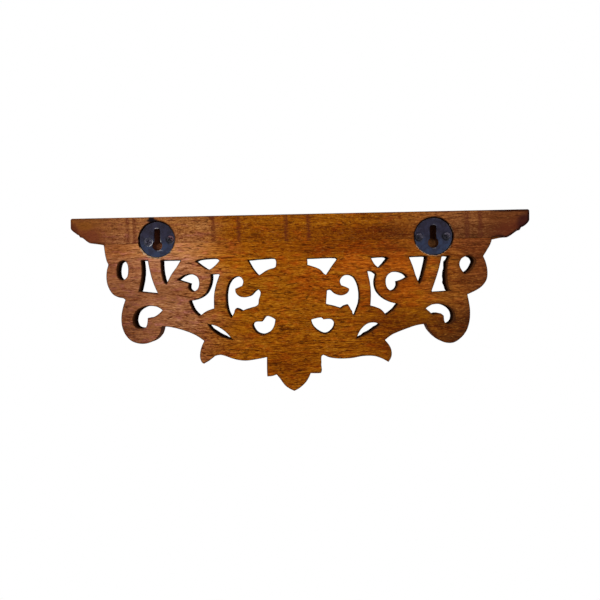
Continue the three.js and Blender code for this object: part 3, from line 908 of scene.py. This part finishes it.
class Surface(Finish):
    """The nodes of a material, with the place of each point."""

    def __init__(self, name):
        super().__init__(bpy.data.materials.new(name))
        point = self.node("ShaderNodeTexCoord", output="Object")
        self.place = self.vector("MULTIPLY", point, (1 / MM, 1 / MM, 1 / MM))

    def vector(self, operation, first, second, output=0):
        return self.node("ShaderNodeVectorMath", {0: first, 1: second}, output, operation=operation)

    def part(self, axis, vector=None):
        return self.node("ShaderNodeSeparateXYZ", {0: vector or self.place}, axis)

    def length(self, vector):
        return self.vector("DISTANCE", vector, (0, 0, 0), "Value")

    def noise(self, scale, detail=2, rough=0.5, at=None, output="Fac"):
        """Noise with its own scale along each axis."""
        return self.node("ShaderNodeTexNoise", {
            "Vector": self.vector("MULTIPLY", at or self.place, scale), "Scale": 1,
            "Detail": detail, "Roughness": rough}, output)

    def rise(self, value, low, high, start=0, end=1):
        """Start at low, end at high, and a smooth step between. Low may lie above high."""
        return self.node("ShaderNodeMapRange", {
            "Value": value, "From Min": low, "From Max": high, "To Min": start, "To Max": end},
            interpolation_type="SMOOTHSTEP")

    def deep(self, near, far, start=0, end=1):
        """Start up to a depth from the wall, and end beyond another."""
        return self.rise(self.part("Y"), -near, -far, start, end)

    def local(self, middle, size=(1, 1)):
        """The place from a middle in X and Z, as a share of a size."""
        moved = self.vector("ADD", self.place, (-middle[0], 0, -middle[1]))
        return self.vector("MULTIPLY", moved, (1 / size[0], 0, 1 / size[1]))

    def spot(self, middle, size):
        """One inside a small patch in X and Z, nothing outside."""
        return self.rise(self.length(self.local(middle, size)), 0.6, 1.25, 1, 0)

    def spots(self, table):
        """The sum of spots (change, middle, size), each times its change."""
        return sum(change * self.spot(middle, size) for change, middle, size in table)

    def blend(self, kind, share, first, second):
        return self.node("ShaderNodeMix", {
            "Factor_Float": share, "A_Color": first, "B_Color": second},
            "Result_Color", data_type="RGBA", blend_type=kind)

    def mix(self, share, first, second):
        return self.blend("MIX", share, tint(first), tint(second))

    def coats(self, colour, *layers):
        """A colour under layers (share, stain), one over the other."""
        for share, stain in layers:
            colour = self.mix(share, colour, stain)
        return colour

    def glaze(self, share, colour, *factors):
        """A colour with its red, green and blue times the factors, by a share."""
        return self.blend("MULTIPLY", share, colour, (*factors, 1))

    def stain(self, tone, colours):
        """A dark, a middle and a pale colour over the tone."""
        stops = [(place, tint(colour)) for place, colour in zip((0.05, 0.5, 0.95), colours)]
        return self.node("ShaderNodeValToRGB", {"Fac": tone}, stops=stops)

    def layer(self, name):
        return self.node("ShaderNodeAttribute", output="Fac", attribute_name=name)

    def bump(self, height, depth):
        """A normal from a height, whose full rise is depth."""
        return self.node("ShaderNodeBump", {"Height": height, "Distance": depth * MM, "Strength": 1})

    def surface(self, colour, rough, more, specular=0.0):
        shader = self.node("ShaderNodeBsdfPrincipled", {
            "Base Color": colour, "Roughness": rough, "Specular IOR Level": specular, **more})
        self.node("ShaderNodeOutputMaterial", {"Surface": shader})
        return self.owner


# The stained wood. A stain is a dark, a middle and a pale colour.

GOLDEN = ((90, 32, 4), (153, 85, 7), (208, 138, 32))
ORANGE = ((90, 27, 3), (158, 75, 7), (212, 121, 30))
# TAN and PINK make the rosy left end, stain with a painted sheen, and DUSKY the dusky right end, stain with
# painted shade.
TAN = ((92, 50, 33), (157, 99, 60), (214, 156, 110))
PINK = ((92, 44, 41), (155, 91, 73), (212, 147, 127))
DUSKY = ((46, 18, 7), (115, 60, 25), (178, 110, 56))
BROWN = ((66, 28, 6), (128, 72, 24), (176, 112, 52))
SEAT_SHADOW = (34, 16, 10)
BLOT_COLOUR = (16, 14, 20)

# Changes of tone: change, middle and size.
PANEL_SPOTS = (
    (0.08, (-56, -36), (38, 14)),
    (0.05, (80, -30), (50, 14)),
    (-0.1, (-148, -36), (20, 22)),
    (0.06, (-45, -104), (26, 18)),
    (-0.04, (96, -100), (22, 20)),
    (-0.06, (-2, -106), (20, 16)),
)
BOARD_SPOTS = (
    (0.03, (-10, 8), (62, 6)),
    (0.08, (132, 4), (16, 12)),
    (-0.06, (-2, -4), (50, 7)),
    (-0.06, (-156, -4), (14, 8)),
)

# Patches on the board's back edge: share, middle, size and colour. The first two are painted shade at the
# ends, and the last two are chips.
BOARD_PATCHES = (
    (0.75, (-187.5, 2.0), (7.5, 9.0), (46, 16, 20)),
    (0.65, (188.5, 1.0), (5.0, 8.0), (78, 34, 20)),
    (0.45, (171.0, -2.0), (6.0, 5.0), (112, 54, 34)),
    (0.4, (178.0, 6.5), (7.0, 4.0), (128, 76, 18)),
    (0.85, (-128.3, -2.0), (1.3, 1.1), (40, 16, 6)),
    (0.8, (-129.9, -3.8), (0.9, 0.8), (214, 150, 104)),
)
BLOT = (((119.7, 11.4), (2.7, 2.3)), ((119.2, 10.1), (5.0, 1.5)))
CRACK = ((-132, -26.5), (4.5, 0.5))


def wood_grain(f, place, seed, run=1.0):
    """Soft streaks, short dark dashes, thin broken lines and pale flecks, all along X.

    The marks are longer where run is smaller."""
    bend = f.noise((0.02, 0.03, 0.04), at=place, output="Color")
    moved = f.vector("ADD", place, (seed, 0, seed))
    bent = f.node("ShaderNodeVectorMath", {0: bend, 1: (0, 3, 7), 2: moved}, operation="MULTIPLY_ADD")
    shown = f.rise(f.part("Y", place), -1, -6)

    def marks(scale, detail, rough=0.5):
        return f.noise(scale, detail, rough, bent)

    return SimpleNamespace(
        streaks=marks((0.03, 0.2, 0.36), 3, 0.6),
        long=(marks((0.03, 0.8, 1.0), 4, 0.65) - 0.5) * shown,
        fibre=marks((0.22 * run, 1.0, 1.4), 3, 0.7),
        specks=marks((0.6 * run, 1.2, 1.5), 1, 0.6),
        dashes=f.rise(marks((0.22 * run, 0.95, 1.3), 2, 0.6), 0.54, 0.6) * (1 - 0.7 * shown),
        lines=f.rise(abs(marks((0.04, 0.3, 0.42), 1) - 0.5), 0.01, 0.034, 1, 0)
        * f.rise(marks((0.12, 0.3, 0.3), 1), 0.42, 0.53),
        flecks=f.rise(marks((0.4, 1.2, 1.1), 1), 0.62, 0.72),
    )


def aged(f, tone, dusk=(96, 160), extra=0.0, orange=0.0, blush=(50, 104)):
    """The stain: rosy at the left end with a painted sheen, golden in the middle, dusky at the right with
    painted shade, even in front.

    dusk and blush say how far from the middle the dusky and the rosy part start and are full.
    extra adds to the dusky share, and orange makes the golden part more orange."""
    drift = 60 * (f.noise((0.02, 0.02, 0.05)) - 0.5)
    patches = f.rise(f.noise((0.07, 0.15, 0.2), 3, 0.65) + orange, 0.44, 0.64)
    golden = f.mix(patches, f.stain(tone, GOLDEN), f.stain(tone, ORANGE))
    rosy = f.mix(patches, f.stain(tone, TAN), f.stain(tone, PINK))
    across = f.part("X") + drift
    near = f.deep(2, 12, 1, 0)
    colour = f.mix(f.rise(across, *blush) * near, golden, rosy)
    return f.mix((f.rise(0 - across, *dusk) + extra) * near, colour, f.stain(tone, DUSKY))


def painted_seat_shadow(f):
    """Painted shadow: a dark line round the seats of the plates, open below."""
    line = 0.0
    for hanger in HANGERS:
        local = f.local(hanger.middle + hanger.seat_shift)
        line = line + f.rise(f.length(local), 15.8, 16.8, 1, 0) * f.rise(f.part("Z", local), -11, -6)
    return line


def frayed_edge(f, grain):
    """Distance from the outline, uneven along the fibre."""
    return f.layer("edge") + 0.7 * (grain.fibre - 0.5)


def waxed(f, colour, grain, more_height=0.0):
    """A matt sawn back, a polished show side, and little wax on what faces down, which is also darkened as
    painted shade.
    """
    down = f.rise(f.part("Z", f.node("ShaderNodeNewGeometry", output="Normal")), -0.2, -0.75)
    height = grain.fibre - 0.5 * grain.dashes - 0.7 * grain.lines + more_height
    return f.surface(f.mix(0.35 * down, colour, (50, 24, 12)), 0.6 - 0.12 * grain.fibre, {
        "Coat Weight": f.deep(1, 16, 0.02, 0.22) * (1 - 0.9 * down), "Coat Roughness": 0.34,
        "Normal": f.bump(height, 0.06)})


def panel_stain():
    f = Surface("panel_stain")
    grain = wood_grain(f, f.place, 0, 0.62)
    across, height = f.part("X"), f.part("Z")
    low = f.rise(height, -62, -96)
    right = f.rise(across, -22, -84)
    lower_right = f.rise(across, -70, -90) * f.rise(height, -58, -76)
    shaded = f.rise(across, -40, -85) * f.rise(height, -58, -78) * f.rise(height, -96, -106, 1, 0)
    lobe = f.rise(across, 108, 150) * f.rise(height, -38, -78)
    band = f.rise(height, -25, -17)
    calm = (1.05 - 0.25 * f.rise(across, 72, 120) + 0.1 * low) * f.deep(1, 6, 1, 0.5)
    # Besides the grain, the tone holds painted light and shade: darker towards the bottom, in the lower
    # right, at the lower left end and in the middle of the top band, and lighter in the top band's left
    # half.
    tone = (0.53 + 0.65 * (grain.streaks - 0.5) + grain.long + 0.8 * calm * (grain.fibre + grain.specks - 1)
            - 0.05 * low - 0.28 * shaded - 0.24 * lobe - 0.08 * f.rise(height, -108, -122)
            - 0.1 * f.rise(across, 126, 160) + 0.05 * f.rise(across, -92, -108)
            - 0.03 * f.rise(height, -34, -42)
            + band * (0.25 * f.rise(across, 48, 76) * f.rise(across, 124, 152, 1, 0.2)
                      - 0.22 * f.rise(abs(across + 42), 15, 58, 1, 0) - 0.04)
            + f.spots(PANEL_SPOTS))
    colour = aged(f, tone, extra=0.35 * band * f.rise(across, -62, -88),
                  orange=0.16 * f.spot((-62, -40), (62, 30)) - 0.04, blush=(42, 100))
    colour = f.glaze(0.7 * f.rise(height, -44, -34), colour, 1.02, 0.93, 0.95)
    colour = f.glaze(band * f.rise(across, 42, 80), colour, 1.01, 0.95, 0.68)
    colour = f.glaze(lower_right, colour, 0.94, 1.04, 1.0)
    marked = 1 - 0.2 * right - 0.2 * f.rise(across, 76, 120) + 0.15 * low
    edge = frayed_edge(f, grain)
    colour = f.coats(
        colour,
        (0.75 * grain.dashes * marked, (92, 33, 3)),
        (0.75 * grain.lines * marked, (60, 20, 3)),
        (0.2 * grain.flecks * marked, (222, 150, 60)),
        (0.75 * f.spot(*CRACK), (34, 14, 6)),
        (f.rise(edge, 0.1, 1.1, 0.85, 0), (46, 22, 10)),
        (f.rise(edge, 0.6, 5, 0.3, 0) * right, (64, 32, 14)),
        (0.75 * painted_seat_shadow(f), SEAT_SHADOW))
    return waxed(f, colour, grain)


def board_stain():
    f = Surface("board_stain")
    grain = wood_grain(f, f.place, 40)
    across, height = f.part("X"), f.part("Z")
    mottle = f.noise((0.55, 0.7, 0.9), 4, 0.75)
    back = f.deep(0.4, 3, 1, 0)
    ends = f.rise(abs(across), 150, 172)
    rough = 0.35 + 0.65 * f.rise(across, -60, 10) * (1 - 0.6 * ends)
    low = f.rise(height, -4, 7, 1, 0) * f.rise(across, 0, -84)
    quiet = (1 - 0.55 * ends) * f.deep(1, 6, 1, 0.5)
    tone = (0.48 + 0.55 * (grain.streaks - 0.5) + grain.long
            + quiet * (0.75 * (grain.fibre - 0.5) + 0.8 * (grain.specks - 0.5))
            + back * (1.3 * (mottle - 0.5) * rough - 0.34 * low * f.rise(across, -76, -116, 1, 0.3)
                      - 0.04 * f.rise(across, -36, -58) + 0.03 * f.rise(across, -98, -116)
                      + 0.08 * f.rise(across, 50, 72) * f.rise(across, 92, 104, 1, 0.3)
                      - 0.08 * f.rise(across, 138, 150)
                      + 0.2 * f.rise(across, -58, -108) * f.rise(across, -150, -168, 1, 0)
                      + f.spots(BOARD_SPOTS)))
    colour = aged(f, tone, (58, 122), orange=-0.06)
    warm = f.rise(across, 60, 88) * f.rise(across, 100, 124, 1, 0.65) * f.rise(height, -6, 5, 0.25, 1)
    colour = f.glaze(0.85 * warm * back, colour, 1.0, 0.93, 0.5)
    colour = f.coats(
        colour,
        (0.75 * f.rise(across, 146, 176) * back, f.stain(tone, BROWN)),
        (0.75 * f.rise(mottle, 0.52, 0.6) * back * rough, (98, 34, 12)),
        (0.68 * grain.dashes * (1 - 0.7 * ends), (84, 28, 4)),
        (0.6 * grain.lines, (56, 18, 4)),
        (0.18 * grain.flecks, (206, 142, 72)))
    leant = across - 0.03 * height + 1.2 * (mottle - 0.5)
    sawn = 0.85 * f.rise(mottle, 0.36, 0.56) * back
    for band in SAW_BANDS:
        colour = f.mix(sawn * f.rise(abs(leant - band), 0.4, 3, 1, 0), colour, (92, 37, 20))
    greyer = f.rise(across, -112, -136) * f.rise(height, -4, 8, 1, 0.5)
    colour = f.glaze(0.85 * greyer * back, colour, 0.8, 0.96, 1.25)
    # Painted shade low on the back edge at both ends, by the mouldings.
    moulded = f.rise(height - 0.3 * (abs(across) - 160), -6, 6, 1, 0) * ends
    # Painted shade on the board's underside, darkest at the ends.
    under = f.rise(height, -8.9, -8, 1, 0) * (1 - back)
    edge = frayed_edge(f, grain)
    edge_share = f.rise(across, 60, 140, 1, 0.35) * back
    colour = f.coats(
        colour,
        (0.6 * moulded * back, (100, 42, 24)),
        # The board's patches: painted shade at both ends, two tinted patches and two chips.
        *[(share * f.spot(middle, size) * back, stain) for share, middle, size, stain in BOARD_PATCHES],
        ((0.7 + 0.2 * ends) * under, (44, 20, 10)),
        (f.rise(edge, 0.2, 1.2, 0.7, 0) * edge_share, (56, 28, 12)),
        (f.rise(edge, 0.6, 2.6, 0.9, 0) * ends * edge_share, (32, 11, 10)),
        (0.75 * painted_seat_shadow(f) * back, SEAT_SHADOW),
        *[(0.96 * f.spot(middle, size) * back, BLOT_COLOUR) for middle, size in BLOT])
    return waxed(f, colour, grain, 0.8 * mottle * back)


def bracket_stain():
    f = Surface("bracket_stain")
    turned = f.node("ShaderNodeCombineXYZ", {"X": f.part("Y"), "Y": f.part("X"), "Z": f.part("Z")})
    grain = wood_grain(f, turned, 90, 0.3)
    tone = 0.48 + 0.9 * (grain.streaks - 0.5) + 0.8 * (grain.fibre - 0.5)
    colour = f.coats(
        aged(f, tone),
        (0.45 * grain.dashes, (84, 36, 10)),
        (0.6 * grain.lines, (60, 25, 8)),
        (f.rise(frayed_edge(f, grain), 0.2, 1.8, 0.5, 0), (62, 30, 12)))
    return waxed(f, colour, grain)


# The sawn, drilled and hidden wood


def sawn_wall():
    """Walls of the openings: a dark stain deepened to nearly black as painted shade, and browner towards
    the back, in patches and at the ends, as painted light.
    """
    f = Surface("sawn_wall")
    saw = f.noise((1.0, 0.14, 1.0), 3, 0.6)
    thin = f.rise(f.noise((0.06, 0.1, 0.06)), 0.4, 0.6)
    across = f.part("X")
    lit = 0.5 * thin + 0.3 * f.rise(across, 100, 140) + 0.4 * f.rise(across, -90, -120) + 0.2
    colour = f.mix(f.deep(0.5, 8, 1, 0) * lit, f.mix(saw, (16, 8, 6), (44, 23, 14)),
                   f.mix(saw, (74, 38, 20), (128, 76, 40)))
    return f.surface(colour, 0.8 + 0.1 * saw, {"Normal": f.bump(saw, 0.2)})


def outer_edge():
    """The outer edges: a warm dark stain over the marks of the saw."""
    f = Surface("outer_edge")
    saw = f.noise((0.7, 0.1, 0.7), 3, 0.65)
    fibre = f.noise((0.15, 0.9, 1.2), 3, 0.6)
    colour = f.mix(0.5 * saw + 0.5 * fibre, (34, 16, 7), (112, 60, 26))
    return f.surface(colour, 0.7 + 0.1 * saw, {
        "Coat Weight": 0.06, "Coat Roughness": 0.4, "Normal": f.bump(saw, 0.15)})


RIM_CHIPS = ((-13.4, 8.6), (-14.8, 6.0))


def bare_wood():
    """Wood laid bare by the drill: pale at the torn rim below, nearly black inside as painted shade, and
    paler on the floor behind the entry as painted light.
    """
    f = Surface("bare_wood")
    fibre = f.noise((0.35, 1.2, 1.2), 4, 0.65)
    # Painted shade: the wood inside the seats and pockets is nearly black.
    dark = f.mix(fibre, (12, 6, 4), (36, 18, 12))
    entry = 0.0
    torn = 0.0
    for hanger in HANGERS:
        x, z = hanger.middle
        warm_x, warm_z = hanger.entry_light_spot
        # Painted light: the pocket's floor is paler where light falls in through the entry.
        entry = entry + f.spot((x + warm_x, z - ENTRY_DROP + warm_z), (3.6, 3.4))
        # Pale raw wood of the torn rim, only on the lower side, where a painted highlight catches the rim.
        low = f.rise(f.part("Z"), z - 5.5, z - 8.5) * f.rise(fibre, 0.4, 0.5)
        torn = torn + low * f.spot((x + 3, z), (19, 19))
        for chip_x, chip_z in RIM_CHIPS:
            torn = torn + 0.8 * f.spot((x + chip_x, z + chip_z), (1.3, 1.1))
    rim = f.mix(torn, dark, f.mix(fibre, (150, 92, 52), (252, 214, 170)))
    floor = f.mix(entry, f.mix(fibre, (48, 22, 15), (112, 62, 44)),
                  f.mix(fibre, (86, 42, 26), (214, 138, 96)))
    floor = f.glaze(0.8 * f.rise(f.part("X"), 0, -20), floor, 0.62, 0.72, 0.42)
    colour = f.coats(rim, (f.deep(0.42, 0.6), dark), (f.deep(3, 6), floor))
    return f.surface(colour, 0.85 + 0.1 * fibre, {"Normal": f.bump(fibre, 0.15)})


def dowel_wood():
    f = Surface("dowel_wood")
    fibre = f.noise((0.8, 0.8, 0.8), 4)
    return f.surface(f.mix(fibre, (176, 128, 78), (222, 184, 134)), 0.7 + 0.1 * fibre, {}, 0.2)


# The steel


def blacked_plate():
    """Thin black paint over steel: cloudy, bluer below, rubbed at the rims and round the screws, with a
    painted highlight on one side of each dish, painted glints round the keyhole and painted shade below the
    dishes.
    """
    f = Surface("blacked_plate")
    cloud = f.noise((0.16, 0.16, 0.16), 4, 0.65)
    dust = f.noise((0.9, 0.9, 0.9), 3, 0.6)
    edge = f.layer("edge") + 0.5 * (dust - 0.5)
    rub = f.layer("rub")
    colour = f.coats(
        f.mix(f.rise(cloud, 0.34, 0.66), (26, 22, 34), (42, 40, 58)),
        (f.rise(f.part("Z"), -2, -14) * f.rise(cloud, 0.4, 0.6, 0.35, 1), (44, 54, 78)),
        (0.3 * f.rise(dust, 0.58, 0.7), (72, 68, 86)),
        (f.rise(edge, 0.05, 0.4, 0.4, 0) * f.rise(cloud, 0.46, 0.6), (120, 116, 124)),
        (0.85 * f.layer("shade"), (6, 5, 9)),
        (rub * f.rise(dust, 0.38, 0.52), (226, 224, 226)))
    return f.surface(colour, 0.5 + 0.2 * cloud, {
        "Metallic": 0.5 * rub, "Normal": f.bump(dust, 0.06)}, 0.1)


def worn_screw():
    f = Surface("worn_screw")
    cloud = f.noise((0.7, 0.7, 0.7), 3, 0.6)
    bright_marks = f.rise(cloud, 0.5, 0.64)
    soft = f.rise(cloud, 0.36, 0.6)
    # Over the steel: on each head's lit side a painted highlight and rusty red, and painted shade on the
    # rest of the head.
    colour = f.coats(
        f.mix(bright_marks, (34, 32, 46), (84, 80, 96)),
        (0.6 * f.layer("dust"), f.mix(soft, (38, 38, 52), (100, 96, 110))),
        (0.6 * f.layer("rust"), f.mix(soft, (28, 18, 28), (112, 66, 66))),
        (0.85 * f.layer("shade"), (8, 7, 12)))
    return f.surface(colour, 0.42 + 0.2 * cloud, {"Metallic": 0.5 * bright_marks}, 0.15)


def mark(piece, **layers):
    """Store a number at each point, which a finish reads by its name."""
    for name, values in layers.items():
        layer = piece.data.attributes.new(name, "FLOAT", "POINT")
        layer.data.foreach_set("value", np.asarray(values, np.float32))


def points_of(piece):
    found = np.empty(len(piece.data.vertices) * 3)
    piece.data.vertices.foreach_get("co", found)
    return found.reshape(-1, 3) / MM


def set_in(piece, body, slot, *replaced):
    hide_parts(*replaced)
    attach(piece, body)


# Making the pieces

shared = [sawn_wall(), bare_wood(), outer_edge()]
for build, stain, node, slot, flat in (
    (fret_panel, panel_stain, "fret_panel", "panel_wood", [0, 2]),
    (shelf_board, board_stain, "shelf_board", "board_wood", [0, 2]),
    (centre_bracket, bracket_stain, "centre_bracket", "bracket_wood", [1, 2]),
):
    piece, shore = build([stain()] + shared)
    mark(piece, edge=shore(points_of(piece)[:, flat]))
    set_in(piece, "root", slot, node)

steel = worn_screw()
paint = blacked_plate()
for hanger in HANGERS:
    plate, shore = hanger_plate(hanger, [paint, paint])
    places = points_of(plate)[:, [0, 2]]
    bright_marks, shade = plate_wear_and_painted_light(places, hanger)
    mark(plate, edge=shore(places), rub=bright_marks, shade=shade)
    set_in(plate, "root", "plate_steel", hanger.node)
    for node, middle, turn, rust, dust in zip(
            hanger.screws, hanger.screw_middles, hanger.turns, hanger.rust, hanger.dust):
        head = screw(f"{node}_piece", middle, turn, [steel])
        x, z = (points_of(head)[:, [0, 2]] - middle).T
        # The lit side of each head, up and towards -X, takes the painted highlight and the rusty red, and
        # the rest takes painted shade.
        rim = smoothstep(0.7 * z - 0.6 * x, -1.2, 1.6)
        mark(head, rust=rust * rim, dust=dust * rim, shade=max(rust, dust) * (1 - rim))
        set_in(head, "root", "screw_steel", node)

birch = dowel_wood()
for name, node in nodes.items():
    if "dowel" in name:
        node.data.materials.clear()
        node.data.materials.append(birch)

# Stage: floor, white background, lamps and camera. The floor and the lamps are in metres.

FLOOR_DROP = 0.6
FLOOR_RADIUS = 0.58
WHITE = (1, 1, 1, 1)


def pale_floor():
    mesh = bpy.data.meshes.new("floor")
    change_mesh(mesh, lambda work: bmesh.ops.create_circle(
        work, cap_ends=True, segments=96, radius=FLOOR_RADIUS))
    made = link("floor", mesh)
    made.location = (0, -0.06, -FLOOR_DROP)
    f = Surface("pale_floor")
    fade = f.rise(f.length(f.place), 300, 0.98 * FLOOR_RADIUS / MM)
    plain = f.node("ShaderNodeBsdfDiffuse", {"Color": tint((238, 238, 236))})
    white = f.node("ShaderNodeEmission", {"Color": WHITE, "Strength": 1.0})
    f.split(fade * f.white_rays(), plain, white, "ShaderNodeOutputMaterial")
    mesh.materials.append(f.owner)


def white_world():
    world = bpy.data.worlds.new("studio")
    bpy.context.scene.world = world
    f = Finish(world)
    soft = f.node("ShaderNodeBackground", {"Color": WHITE, "Strength": 0.3})
    white = f.node("ShaderNodeBackground", {"Color": WHITE, "Strength": 1.0})
    f.split(f.white_rays(), soft, white, "ShaderNodeOutputWorld")


def lamp(name, place, aim, size, power):
    light = bpy.data.lights.new(name, "AREA")
    light.shape = "RECTANGLE"
    light.size, light.size_y = size
    light.energy = power
    made = link(name, light)
    made.location = place
    made.rotation_euler = (Vector(aim) - Vector(place)).to_track_quat("-Z", "Y").to_euler()


pale_floor()
white_world()
lamp("key", (0.75, 1.0, 0.45), (0, 0, -0.05), (0.7, 0.7), 10)
lamp("fill", (-0.5, 1.2, 0.2), (0, 0, -0.05), (0.9, 0.9), 4.5)
lamp("top", (0.0, -0.1, 1.1), (0, -0.05, 0), (0.8, 0.5), 5)
lamp("front", (0.5, -1.1, 0.4), (0, -0.05, -0.05), (0.8, 0.8), 8)

# The picture is 600 wide and high, and the lens looks straight at a place in it that lies
# off its middle, counted from the top left.
PICTURE = 600
LENS_AXIS = (247.6, 284.14)
CAMERA_PLACE = (-14.39, 550, -44.77)
CAMERA_YAW = 0.0951
CAMERA_ROLL = 0.0111
FOCAL_LENGTH = 39.56


def camera():
    lens = bpy.data.cameras.new("camera")
    lens.lens = FOCAL_LENGTH
    lens.sensor_width = 36
    lens.shift_x = (PICTURE / 2 - LENS_AXIS[0]) / PICTURE
    lens.shift_y = (LENS_AXIS[1] - PICTURE / 2) / PICTURE
    lens.clip_start = 0.01
    made = link("camera", lens)
    made.location = Vector(CAMERA_PLACE) * MM
    made.rotation_euler = (math.pi / 2, CAMERA_ROLL, math.pi + CAMERA_YAW)
    bpy.context.scene.camera = made


camera()
bpy.context.scene.view_settings.view_transform = "Standard"
